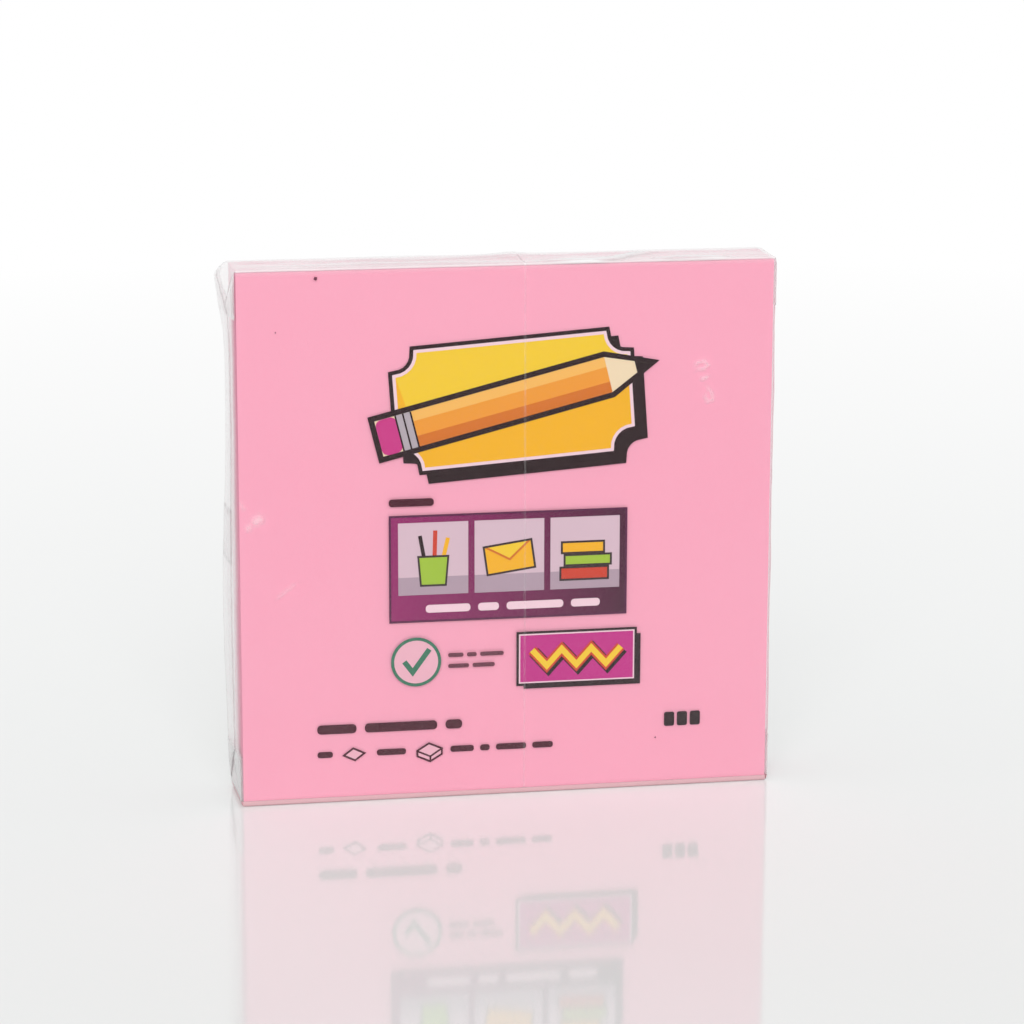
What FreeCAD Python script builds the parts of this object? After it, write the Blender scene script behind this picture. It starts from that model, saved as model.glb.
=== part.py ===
"""A sealed pad of sticky notes, standing on its lower edge.

Four pieces make the pack: the block of notes, the adhesive band that holds the block to its
backing, the backing sheet, and the clear film that is folded round all of them.

The frame is in millimetres. +Z is up, the notes face -Y, and the origin is on the surface
that the pack stands on, under the middle of the block.
"""
import FreeCAD, Part
import os

import Sketcher

# Driving dimensions: alias, value, what it is.
SIZES = (
    ("note_width", 76.0, "width of a note"),
    ("note_height", 76.0, "height of a note"),
    ("leaf_count", 90, "notes in the block"),
    ("leaf_pitch", 0.113, "one note with its share of adhesive and air"),
    ("leaf_bevel", 0.02, "rounding of a note's cut edge"),
    ("glue_height", 20.0, "height of the adhesive band below the top edge"),
    ("glue_thickness", 0.04, "thickness of the adhesive band"),
    ("liner_thickness", 0.13, "thickness of the backing sheet"),
    ("rest_height", 0.7, "height at which the folded film holds the block"),
    ("film_wall", 0.05, "thickness of the film"),
    ("front_gap", 0.3, "slack between the film and the first note"),
    ("back_gap", 0.15, "slack between the film and the backing sheet"),
    ("top_gap", 0.35, "slack over the top edge"),
    ("left_gap", 0.2, "slack at the left end"),
    ("right_gap", 0.9, "slack at the right end"),
    ("bend_radius", 0.3, "outside radius where the film goes round an edge"),
    ("pleat_inset", 0.8, "distance from the film's front to the nose of the pleat"),
    ("pleat_rise", 1.2, "depth over which the pleat climbs to the block"),
    ("flap_lap", 3.0, "width over which the back flap covers the front flap"),
    ("seam_width", 8.0, "width of the lap seam along the back"),
    ("tear_offset", 2.4, "distance of the tear line from the middle"),
    ("slit_length", 1.2, "length of one cut in the tear line"),
    ("slit_width", 0.15, "width of one cut in the tear line"),
    ("slit_pitch", 2.4, "distance between cuts in the tear line"),
    ("crease_width", 1.8, "width of a standing crease in the film"),
    ("crease_height", 0.3, "height of a standing crease in the film"),
    ("sweep_run", 14.4, "length of the crease that sweeps from the front edge to the back edge"),
    ("sweep_inset", 13.0, "distance of its end from the right end of the notes"),
    ("long_run", 38.0, "length of the crease that starts near the left end"),
    ("long_inset", 3.8, "distance of its start from the left end of the notes"),
    ("flare_depth", 7.5, "width of the loose film at the left end, from the front edge"),
    ("foot_reach", 0.45, "reach of the loose film at the foot"),
    ("belly_reach", 1.1, "reach of the loose film at its belly"),
    ("belly_height", 29.0, "height of the belly above the surface"),
    ("waist_reach", 0.3, "reach of the loose film at its waist"),
    ("waist_drop", 12.5, "distance of the waist below the top"),
    ("ear_reach", 1.8, "reach of the loose film at its ear"),
    ("ear_drop", 4.0, "distance of the ear below the top"),
)

# Places worked out from the driving dimensions. FRONT and BACK are the faces of the stack.
HALF_WIDTH = "(sizes.note_width / 2)"
BLOCK_DEPTH = "(sizes.leaf_count * sizes.leaf_pitch)"
STACK_DEPTH = f"({BLOCK_DEPTH} + sizes.glue_thickness + sizes.liner_thickness)"
FRONT = f"(-{STACK_DEPTH} / 2)"
BLOCK_BACK = f"({FRONT} + {BLOCK_DEPTH})"
LINER_FRONT = f"({BLOCK_BACK} + sizes.glue_thickness)"
BACK = f"({STACK_DEPTH} / 2)"
NOTE_TOP = "(sizes.rest_height + sizes.note_height)"

# Outside faces of the film.
FILM_FRONT = f"({FRONT} - sizes.front_gap - sizes.film_wall)"
FILM_BACK = f"({BACK} + sizes.back_gap + sizes.film_wall)"
FILM_TOP = f"({NOTE_TOP} + sizes.top_gap + sizes.film_wall)"
FILM_LEFT = f"(-{HALF_WIDTH} - sizes.left_gap - sizes.film_wall)"
FILM_RIGHT = f"({HALF_WIDTH} + sizes.right_gap + sizes.film_wall)"
FILM_LENGTH = f"({FILM_RIGHT} - {FILM_LEFT})"

# The film runs past each end by the same length all round: half the depth and half the lap.
OVERHANG = f"(({FILM_BACK} - {FILM_FRONT} + sizes.flap_lap) / 2)"
PAST = 1.0  # how far a cutting profile runs past the film


def make_sheet(document):
    """The spreadsheet that holds every driving dimension under its alias."""
    sheet = document.addObject("Spreadsheet::Sheet", "sizes")
    for row, (alias, value, meaning) in enumerate(SIZES, start=1):
        sheet.set(f"A{row}", meaning)
        sheet.set(f"B{row}", str(value))
        sheet.setAlias(f"B{row}", alias)
    document.recompute()


def origin_plane(body, role):
    """One of the body's own origin planes."""
    return next(item for item in body.Origin.OriginFeatures if item.Role == role)


def make_sketch(body, name, role, offset="0"):
    """A sketch parallel to an origin plane, moved along that plane's normal by an expression."""
    sketch = body.newObject("Sketcher::SketchObject", name)
    sketch.AttachmentSupport = (origin_plane(body, role), [""])
    sketch.MapMode = "FlatFace"
    sketch.setExpression("AttachmentOffset.Base.z", offset)
    return sketch


def add_outline(sketch, corners):
    """A closed outline of straight lines. Each corner is a pair of expressions."""
    places = [tuple(float(sketch.evalExpression(part)) for part in corner) for corner in corners]
    first = sketch.GeometryCount
    for index, start in enumerate(places):
        end = places[(index + 1) % len(places)]
        line = Part.LineSegment(FreeCAD.Vector(*start, 0), FreeCAD.Vector(*end, 0))
        sketch.addGeometry(line, False)
    for index, corner in enumerate(corners):
        line = first + index
        following = first + (index + 1) % len(corners)
        sketch.addConstraint(Sketcher.Constraint("Coincident", line, 2, following, 1))
        for kind, expression, place in zip(("DistanceX", "DistanceY"), corner, places[index]):
            number = sketch.addConstraint(Sketcher.Constraint(kind, -1, 1, line, 1, place))
            sketch.setExpression(f"Constraints[{number}]", expression)
    return sketch


def add_rectangle(sketch, left, bottom, right, top):
    """A closed rectangle whose sides are expressions."""
    return add_outline(sketch, [(left, bottom), (right, bottom), (right, top), (left, top)])


def add_pad(body, name, sketch, length, reverse=False):
    """Material raised from a sketch."""
    pad = body.newObject("PartDesign::Pad", name)
    pad.Profile = sketch
    pad.Reversed = reverse
    pad.setExpression("Length", length)
    body.Document.recompute()
    return pad


def add_cut(body, name, sketch):
    """A cut that runs through the whole piece to both sides of its sketch."""
    cut = body.newObject("PartDesign::Pocket", name)
    cut.Profile = sketch
    cut.SideType = "Symmetric"
    cut.Type = "ThroughAll"
    body.Document.recompute()
    return cut


def add_row(body, name, feature, plane, against_normal, span, count):
    """Copies of a feature in a row along a plane's normal, or against it."""
    row = body.newObject("PartDesign::LinearPattern", name)
    row.Originals = [feature]
    row.Direction = (origin_plane(body, plane), [""])
    row.Reversed = against_normal
    row.setExpression("Length", span)
    row.setExpression("Occurrences", count)
    body.Tip = row
    body.Document.recompute()
    return row


def make_note_block(document):
    """The block: one square note with its cut edge, repeated through the depth of the stack."""
    body = document.addObject("PartDesign::Body", "note_block")
    outline = make_sketch(body, "note_outline", "XZ_Plane")
    add_rectangle(outline, f"-{HALF_WIDTH}", "0", HALF_WIDTH, "sizes.note_height")
    leaf = body.newObject("PartDesign::Pad", "note_leaf")
    leaf.Profile = outline
    leaf.SideType = "Symmetric"
    leaf.setExpression("Length", "sizes.leaf_pitch")
    leaf.setExpression("TaperAngle", "-atan(sizes.leaf_bevel / (sizes.leaf_pitch / 2))")
    document.recompute()
    add_row(body, "stacked_leaves", leaf, "XZ_Plane", True,
            "(sizes.leaf_count - 1) * sizes.leaf_pitch", "sizes.leaf_count")
    body.setExpression("Placement.Base.y", f"{FRONT} + sizes.leaf_pitch / 2")
    body.setExpression("Placement.Base.z", "sizes.rest_height")
    return body


def make_adhesive_band(document):
    """The band of adhesive on the back of the last note, along its top edge."""
    body = document.addObject("PartDesign::Body", "adhesive_band")
    outline = make_sketch(body, "band_outline", "XZ_Plane")
    add_rectangle(outline, f"-{HALF_WIDTH}", "-sizes.glue_height", HALF_WIDTH, "0")
    add_pad(body, "band", outline, "sizes.glue_thickness", reverse=True)
    body.setExpression("Placement.Base.y", BLOCK_BACK)
    body.setExpression("Placement.Base.z", NOTE_TOP)
    return body


def make_backing_sheet(document):
    """The release sheet behind the last note, cut to the size of the notes."""
    body = document.addObject("PartDesign::Body", "backing_sheet")
    outline = make_sketch(body, "sheet_outline", "XZ_Plane")
    add_rectangle(outline, f"-{HALF_WIDTH}", "0", HALF_WIDTH, "sizes.note_height")
    add_pad(body, "sheet", outline, "sizes.liner_thickness", reverse=True)
    body.setExpression("Placement.Base.y", LINER_FRONT)
    body.setExpression("Placement.Base.z", "sizes.rest_height")
    return body


def add_film_tube(body):
    """The film's tube: a block with its long edges rounded, emptied from both ends."""
    document = body.Document
    section = make_sketch(body, "tube_section", "YZ_Plane", FILM_LEFT)
    add_rectangle(section, FILM_FRONT, "0", FILM_BACK, FILM_TOP)
    blank = add_pad(body, "tube_blank", section, FILM_LENGTH)
    long_edges = [
        f"Edge{number}"
        for number, edge in enumerate(blank.Shape.Edges, start=1)
        if abs(edge.tangentAt(edge.FirstParameter).x) > 0.5
    ]
    bends = body.newObject("PartDesign::Fillet", "tube_bends")
    bends.Base = (blank, long_edges)
    bends.setExpression("Radius", "sizes.bend_radius")
    document.recompute()
    end_faces = [
        f"Face{number}"
        for number, face in enumerate(bends.Shape.Faces, start=1)
        if abs(face.normalAt(0, 0).x) > 0.5
    ]
    tube = body.newObject("PartDesign::Thickness", "film_tube")
    tube.Base = (bends, end_faces)
    tube.Reversed = True
    tube.setExpression("Value", "sizes.film_wall")
    document.recompute()
    return tube


def add_bottom_pleat(body):
    """The spare length of film under the block: a fold that springs open and carries it."""
    rear = f"{FILM_BACK} - sizes.bend_radius"
    nose = f"{FILM_FRONT} + sizes.pleat_inset"
    landing = f"{nose} + sizes.pleat_rise"
    half_rest = "sizes.rest_height / 2"
    wall = "sizes.film_wall"
    profile = make_sketch(body, "pleat_profile", "YZ_Plane", FILM_LEFT)
    add_outline(profile, [
        (rear, f"{wall} / 2"),
        (nose, f"{half_rest} - {wall} / 2"),
        (nose, f"{half_rest} + {wall} / 2"),
        (landing, "sizes.rest_height"),
        (f"{FILM_BACK} - {wall} / 2", "sizes.rest_height"),
        (f"{FILM_BACK} - {wall} / 2", f"sizes.rest_height - {wall}"),
        (landing, f"sizes.rest_height - {wall}"),
        (f"{nose} + 2 * {wall}", half_rest),
        (rear, f"3 * {wall} / 2"),
    ])
    add_pad(body, "bottom_pleat", profile, FILM_LENGTH)


def cut_pleat_mouth(body):
    """The pleat's open side along the back: there the film folds and doesn't close."""
    opening = make_sketch(body, "pleat_mouth", "YZ_Plane")
    add_rectangle(opening, f"{FILM_BACK} - sizes.bend_radius", f"-{PAST}",
                  f"{FILM_BACK} + {PAST}", "sizes.rest_height - sizes.film_wall")
    add_cut(body, "pleat_mouth_cut", opening)


def add_end_folds(body, side, place, outward):
    """One closed end: two tucks, the front flap, and the back flap lapped over it."""
    inner_front = f"{FILM_FRONT} + sizes.bend_radius"
    inner_back = f"{FILM_BACK} - sizes.bend_radius"
    low = "sizes.bend_radius"
    high = f"{FILM_TOP} - sizes.bend_radius"
    tucks = make_sketch(body, f"{side}_tuck_outlines", "YZ_Plane", place)
    add_rectangle(tucks, inner_front, f"{FILM_TOP} - {OVERHANG}", inner_back,
                  f"{FILM_TOP} - sizes.film_wall / 2")
    add_rectangle(tucks, inner_front, "sizes.film_wall / 2", inner_back, OVERHANG)
    add_pad(body, f"{side}_tucks", tucks, "sizes.film_wall", reverse=outward)

    front_flap = make_sketch(body, f"{side}_front_flap_outline", "YZ_Plane", place)
    add_outline(front_flap, [
        (FILM_FRONT, low),
        (f"{FILM_FRONT} + {OVERHANG}", f"{low} + {OVERHANG}"),
        (f"{FILM_FRONT} + {OVERHANG}", f"{high} - {OVERHANG}"),
        (FILM_FRONT, high),
    ])
    add_pad(body, f"{side}_front_flap", front_flap, "sizes.film_wall", reverse=not outward)

    back_flap = make_sketch(body, f"{side}_back_flap_outline", "YZ_Plane", place)
    add_outline(back_flap, [
        (FILM_BACK, low),
        (f"{FILM_BACK} - {OVERHANG}", f"{low} + {OVERHANG}"),
        (f"{FILM_BACK} - {OVERHANG}", f"{high} - {OVERHANG}"),
        (FILM_BACK, high),
    ])
    add_pad(body, f"{side}_back_flap", back_flap, "2 * sizes.film_wall", reverse=not outward)


def add_loft(body, name, sections):
    """A ruled body through a row of sketches."""
    loft = body.newObject("PartDesign::AdditiveLoft", name)
    loft.Profile = sections[0]
    loft.Sections = sections[1:]
    loft.Ruled = True
    body.Document.recompute()
    return loft


def add_loose_film(body):
    """The loose film at the left end. From the front edge it stands away from the pad towards the
    back, in an ear at the top and a belly lower down, with a waist between them."""
    wall = "sizes.film_wall"
    edge = f"{FILM_LEFT} - {wall} / 2"
    stations = (
        ("foot", "sizes.bend_radius", "sizes.foot_reach"),
        ("belly", "sizes.belly_height", "sizes.belly_reach"),
        ("waist", f"{FILM_TOP} - sizes.waist_drop", "sizes.waist_reach"),
        ("ear", f"{FILM_TOP} - sizes.ear_drop", "sizes.ear_reach"),
        ("corner", f"{FILM_TOP} - sizes.bend_radius", "sizes.ear_reach"),
    )
    sections = []
    for name, height, reach in stations:
        section = make_sketch(body, f"loose_film_{name}", "XY_Plane", height)
        add_outline(section, [
            (edge, FILM_FRONT),
            (f"{edge} - {reach}", f"{FILM_FRONT} + sizes.flare_depth"),
            (f"{edge} - {reach} + {wall}", f"{FILM_FRONT} + sizes.flare_depth"),
            (f"{edge} + {wall}", f"{FILM_FRONT} + {wall}"),
        ])
        sections.append(section)
    add_loft(body, "left_loose_film", sections)


def add_crease(body, name, start, end):
    """A standing crease over the top. It sweeps from start to end, each (along, across)."""
    shares = (0.0, 0.2, 0.4, 0.6, 0.8, 1.0)
    sections = []
    for number, share in enumerate(shares):
        turn = share * share * (3 - 2 * share)
        along = f"{start[0]} + ({end[0]} - {start[0]}) * {share}"
        across = f"({start[1]} + ({end[1]} - {start[1]}) * {turn})"
        swell = f"(sizes.film_wall + sizes.crease_height * sin(180deg * {share}))"
        section = make_sketch(body, f"{name}_{number}", "YZ_Plane", along)
        add_outline(section, [
            (f"{across} - sizes.crease_width / 2", f"{FILM_TOP} - sizes.film_wall / 2"),
            (f"{across} + sizes.crease_width / 2", f"{FILM_TOP} - sizes.film_wall / 2"),
            (across, f"{FILM_TOP} + {swell}"),
        ])
        sections.append(section)
    add_loft(body, name, sections)


def add_lap_seam(body):
    """The lap seam: the two edges of the film lie over each other along the back."""
    outline = make_sketch(body, "seam_outline", "XZ_Plane", f"-{FILM_BACK}")
    middle = f"{FILM_TOP} / 2"
    add_rectangle(outline, FILM_LEFT, f"{middle} - sizes.seam_width / 2",
                  FILM_RIGHT, f"{middle} + sizes.seam_width / 2")
    add_pad(body, "lap_seam", outline, "sizes.film_wall", reverse=True)


def add_tear_line(body):
    """The tear line: a row of short cuts round the film, a little right of the middle."""
    left = "sizes.tear_offset - sizes.slit_width / 2"
    right = "sizes.tear_offset + sizes.slit_width / 2"
    rows = (
        ("face", "XZ_Plane", "XY_Plane", "sizes.slit_pitch", FILM_TOP, False),
        ("edge", "XY_Plane", "XZ_Plane", f"{FILM_FRONT} + sizes.slit_pitch / 2",
         f"({FILM_BACK} - {FILM_FRONT})", True),
    )
    for name, plane, direction, start, room, reverse in rows:
        outline = make_sketch(body, f"{name}_slit_outline", plane)
        add_rectangle(outline, left, start, right, f"{start} + sizes.slit_length")
        slit = add_cut(body, f"{name}_slit", outline)
        count = f"floor(({room} - sizes.slit_pitch) / sizes.slit_pitch)"
        add_row(body, f"{name}_slits", slit, direction, reverse,
                f"({count} - 1) * sizes.slit_pitch", count)


def make_film_wrap(document):
    """The clear film: one sheet made into a tube, folded shut at both ends."""
    body = document.addObject("PartDesign::Body", "film_wrap")
    add_film_tube(body)
    add_bottom_pleat(body)
    add_end_folds(body, "left", FILM_LEFT, outward=False)
    add_end_folds(body, "right", FILM_RIGHT, outward=True)
    add_lap_seam(body)
    add_loose_film(body)
    near_front = f"({FILM_FRONT} + sizes.crease_width)"
    near_back = f"({FILM_BACK} - sizes.crease_width)"
    sweep_end = f"({HALF_WIDTH} - sizes.sweep_inset)"
    long_start = f"(-{HALF_WIDTH} + sizes.long_inset)"
    add_crease(body, "sweeping_crease",
               (f"({sweep_end} - sizes.sweep_run)", near_front), (sweep_end, near_back))
    add_crease(body, "long_crease",
               (long_start, "0"), (f"({long_start} + sizes.long_run)", near_front))
    cut_pleat_mouth(body)
    add_tear_line(body)
    return body


def check_objects(document):
    """Stops with a plain message if an object failed or a piece has no good shape."""
    for item in document.Objects:
        if "Invalid" in item.State or "Error" in item.State:
            raise RuntimeError(f"{item.Name} failed: {item.State}")


def write_pieces(pieces):
    """Writes each piece to a file named after its label."""
    os.makedirs("parts", exist_ok=True)
    for piece in pieces:
        shape = piece.Shape
        if shape.isNull() or not shape.isValid() or len(shape.Solids) != 1:
            raise RuntimeError(f"{piece.Label} has no single valid solid")
        shape.exportStep(os.path.join("parts", f"{piece.Label}.step"))
        box = shape.BoundBox
        print(f"{piece.Label}: {shape.Volume:.1f} mm3, {len(shape.Faces)} faces, "
              f"x {box.XMin:.2f}..{box.XMax:.2f}, y {box.YMin:.2f}..{box.YMax:.2f}, "
              f"z {box.ZMin:.2f}..{box.ZMax:.2f}")


def main():
    document = FreeCAD.newDocument("sticky_note_pad")
    make_sheet(document)
    pieces = [
        make_note_block(document),
        make_adhesive_band(document),
        make_backing_sheet(document),
        make_film_wrap(document),
    ]
    document.recompute()
    check_objects(document)
    write_pieces(pieces)


main()
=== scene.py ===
import math

import bmesh
import bpy
import numpy as np
from mathutils import Matrix, Vector


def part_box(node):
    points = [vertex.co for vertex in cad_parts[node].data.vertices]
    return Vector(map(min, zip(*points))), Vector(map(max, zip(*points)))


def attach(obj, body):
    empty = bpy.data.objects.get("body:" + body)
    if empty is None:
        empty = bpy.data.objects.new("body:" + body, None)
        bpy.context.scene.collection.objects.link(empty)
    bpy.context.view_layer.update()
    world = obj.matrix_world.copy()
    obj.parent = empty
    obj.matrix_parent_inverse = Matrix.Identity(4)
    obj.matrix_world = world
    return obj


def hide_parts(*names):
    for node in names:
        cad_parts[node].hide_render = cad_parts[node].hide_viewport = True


# A sealed pad of sticky notes: pink paper in a clear printed film that is folded shut at both ends.
# The script works in millimetres and turns each finished mesh to metres.
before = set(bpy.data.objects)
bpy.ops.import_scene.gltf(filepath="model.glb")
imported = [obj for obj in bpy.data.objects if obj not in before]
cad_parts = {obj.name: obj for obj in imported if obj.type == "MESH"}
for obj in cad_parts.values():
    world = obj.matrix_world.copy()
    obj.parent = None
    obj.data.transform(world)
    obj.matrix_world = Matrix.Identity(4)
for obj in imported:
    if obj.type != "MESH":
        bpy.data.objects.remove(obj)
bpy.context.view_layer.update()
MM = 0.001


def box_mm(node):
    """The lowest and highest corner of a piece of the frame, in millimetres."""
    low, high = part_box(node)
    return np.array(low) / MM, np.array(high) / MM


BLOCK_LOW, BLOCK_HIGH = box_mm("note_block")
LINER_LOW, LINER_HIGH = box_mm("backing_sheet")
FILM_LOW, FILM_HIGH = box_mm("film_wrap")

# Camera
IMAGE_SIDE = 1024
FOCAL_PIXELS = 3578.0
SENSOR = 36.0
CAMERA_AZIMUTH = math.radians(-9.939)
CAMERA_ELEVATION = math.radians(13.326)
CAMERA_ROLL = math.radians(0.108)
CAMERA_DISTANCE = 505.35
CAMERA_AIM = np.array((0.615, -5.17, 41.568))


def make_camera():
    """The camera at the photograph's place, a little left of and above the pad."""
    back = np.array((
        math.sin(CAMERA_AZIMUTH) * math.cos(CAMERA_ELEVATION),
        -math.cos(CAMERA_AZIMUTH) * math.cos(CAMERA_ELEVATION),
        math.sin(CAMERA_ELEVATION),
    ))
    level = np.cross(-back, (0.0, 0.0, 1.0))
    level /= np.linalg.norm(level)
    rise = np.cross(level, -back)
    right = math.cos(CAMERA_ROLL) * level + math.sin(CAMERA_ROLL) * rise
    up = -math.sin(CAMERA_ROLL) * level + math.cos(CAMERA_ROLL) * rise
    place = (CAMERA_AIM + CAMERA_DISTANCE * back) * MM
    data = bpy.data.cameras.new("camera")
    data.sensor_width = SENSOR
    data.lens = FOCAL_PIXELS * SENSOR / IMAGE_SIDE
    data.clip_start = 0.01
    data.clip_end = 20.0
    camera = bpy.data.objects.new("camera", data)
    camera.matrix_world = Matrix([
        (right[0], up[0], back[0], place[0]),
        (right[1], up[1], back[1], place[1]),
        (right[2], up[2], back[2], place[2]),
        (0.0, 0.0, 0.0, 1.0),
    ])
    bpy.context.scene.collection.objects.link(camera)
    bpy.context.scene.camera = camera


# Materials
def colour(code):
    """An sRGB hex colour as linear red, green, blue and alpha."""
    parts = [int(code[place:place + 2], 16) / 255 for place in (1, 3, 5)]
    return [p / 12.92 if p <= 0.04045 else ((p + 0.055) / 1.055) ** 2.4 for p in parts] + [1.0]


def add_node(tree, kind, inputs=None, **settings):
    """A node with its settings. An input is a plain value or the socket that feeds it."""
    made = tree.nodes.new(kind)
    for name, value in settings.items():
        setattr(made, name, value)
    for name, value in (inputs or {}).items():
        if isinstance(value, bpy.types.NodeSocket):
            tree.links.new(value, made.inputs[name])
        else:
            made.inputs[name].default_value = value
    return made


def new_material(name):
    """An empty material with its output node."""
    material = bpy.data.materials.new(name)
    material.use_nodes = True
    tree = material.node_tree
    tree.nodes.clear()
    return material, tree, add_node(tree, "ShaderNodeOutputMaterial")


def per_metre(size_mm):
    """The scale that gives a pattern of this size in millimetres."""
    return 1 / (size_mm * MM)


def dyed_paper():
    """Uncoated dyed paper. Its felt of fibres gives a matt face with a faint cloudy mottle. The sides carry
    fine leaf lines, partly the cut edges' own tone and partly painted shade in the grooves between leaves."""
    material, tree, output = new_material("uncoated_dyed_paper")
    place = add_node(tree, "ShaderNodeTexCoord").outputs["Object"]
    normal = add_node(tree, "ShaderNodeNewGeometry").outputs["Normal"]
    facing = add_node(tree, "ShaderNodeSeparateXYZ", {"Vector": normal}).outputs["Y"]
    level = add_node(tree, "ShaderNodeMath", {0: facing}, operation="ABSOLUTE").outputs[0]
    side = add_node(tree, "ShaderNodeMath", {0: level, 1: 0.6}, operation="LESS_THAN").outputs[0]

    # Clouds of dye, 9 mm across, and fibres, 0.5 mm long
    cloud = add_node(tree, "ShaderNodeTexNoise", {"Vector": place, "Scale": per_metre(9.0),
                                                 "Detail": 3.0}).outputs["Fac"]
    fibre = add_node(tree, "ShaderNodeTexNoise", {"Vector": place, "Scale": per_metre(0.5),
                                                 "Detail": 4.0, "Roughness": 0.7}).outputs["Fac"]
    mottle = add_node(tree, "ShaderNodeMix", {"Factor": cloud, "A": colour("#FCA9C1"),
                                             "B": colour("#FBAEC5")}, data_type="RGBA")
    mottle = mottled_paper(tree, mottle, fibre)

    # A leaf is 0.11 mm thick, under one pixel, so the lines are drawn 0.4 mm apart
    depth = add_node(tree, "ShaderNodeMapping", {"Vector": place, "Scale": (12.0, 1e3 / 0.4, 12.0)})
    leaves = add_node(tree, "ShaderNodeTexNoise", {"Vector": depth.outputs["Vector"], "Scale": 1.0,
                                                  "Detail": 3.0, "Roughness": 0.8}).outputs["Fac"]
    # The darker pink of these lines is painted shade in the grooves between the leaves
    painted_leaf_shade = add_node(tree, "ShaderNodeValToRGB", {"Fac": leaves})
    painted_leaf_shade.color_ramp.elements[0].position = 0.35
    painted_leaf_shade.color_ramp.elements[0].color = colour("#E391AB")
    painted_leaf_shade.color_ramp.elements[1].position = 0.65
    painted_leaf_shade.color_ramp.elements[1].color = colour("#FDB4C9")
    paint = add_node(tree, "ShaderNodeMix", {"Factor": side, "A": mottle, "B": painted_leaf_shade.outputs["Color"]},
                     data_type="RGBA").outputs["Result"]

    grain = add_node(tree, "ShaderNodeMix", {"Factor": side, "A": fibre, "B": leaves},
                     data_type="FLOAT").outputs["Result"]
    relief = add_node(tree, "ShaderNodeBump", {"Height": grain, "Strength": 0.25,
                                              "Distance": 0.05 * MM}).outputs["Normal"]
    skin = add_node(tree, "ShaderNodeBsdfPrincipled", {"Base Color": paint, "Roughness": 0.88,
                                                      "Specular IOR Level": 0.25,
                                                      "Normal": relief})
    tree.links.new(skin.outputs["BSDF"], output.inputs["Surface"])
    return material


def mottled_paper(tree, base, fibre):
    """The paper's colour with its fibres a little paler."""
    return add_node(tree, "ShaderNodeMix", {"Factor": fibre, "A": base.outputs["Result"],
                                           "B": colour("#FDB2C8")}, data_type="RGBA").outputs["Result"]


def release_paper():
    """Glassine release paper, supercalendered and silicone coated, so it is smoother and glossier
    than the notes and shows a faint cloudy formation."""
    material, tree, output = new_material("silicone_release_paper")
    place = add_node(tree, "ShaderNodeTexCoord").outputs["Object"]
    cloud = add_node(tree, "ShaderNodeTexNoise", {"Vector": place, "Scale": per_metre(3.0),
                                                 "Detail": 5.0, "Roughness": 0.65}).outputs["Fac"]
    paint = add_node(tree, "ShaderNodeMix", {"Factor": cloud, "A": colour("#F1EBE2"),
                                            "B": colour("#FAF7F1")}, data_type="RGBA").outputs["Result"]
    relief = add_node(tree, "ShaderNodeBump", {"Height": cloud, "Strength": 0.15,
                                              "Distance": 0.05 * MM}).outputs["Normal"]
    skin = add_node(tree, "ShaderNodeBsdfPrincipled", {"Base Color": paint, "Roughness": 0.42,
                                                      "Normal": relief})
    tree.links.new(skin.outputs["BSDF"], output.inputs["Surface"])
    return material


def band_adhesive():
    """Acrylic adhesive, spread from tiny spheres, so the band looks finely pebbled and dull."""
    material, tree, output = new_material("acrylic_microsphere_adhesive")
    place = add_node(tree, "ShaderNodeTexCoord").outputs["Object"]
    # The spheres measure 0.05 mm and are drawn 0.3 mm across
    pebble = add_node(tree, "ShaderNodeTexVoronoi", {"Vector": place, "Scale": per_metre(0.3)})
    paint = add_node(tree, "ShaderNodeMix", {"Factor": pebble.outputs["Distance"],
                                            "A": colour("#EFC3CF"), "B": colour("#E2A9BA")},
                     data_type="RGBA").outputs["Result"]
    relief = add_node(tree, "ShaderNodeBump", {"Height": pebble.outputs["Distance"], "Strength": 0.4,
                                              "Distance": 0.03 * MM}).outputs["Normal"]
    skin = add_node(tree, "ShaderNodeBsdfPrincipled", {"Base Color": paint, "Roughness": 0.6,
                                                      "Normal": relief})
    tree.links.new(skin.outputs["BSDF"], output.inputs["Surface"])
    return material


FILM_STRAIGHT_GLOSS = 0.006
PAPER_FOOT, PAPER_TOP = BLOCK_LOW[2], BLOCK_HIGH[2]


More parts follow.
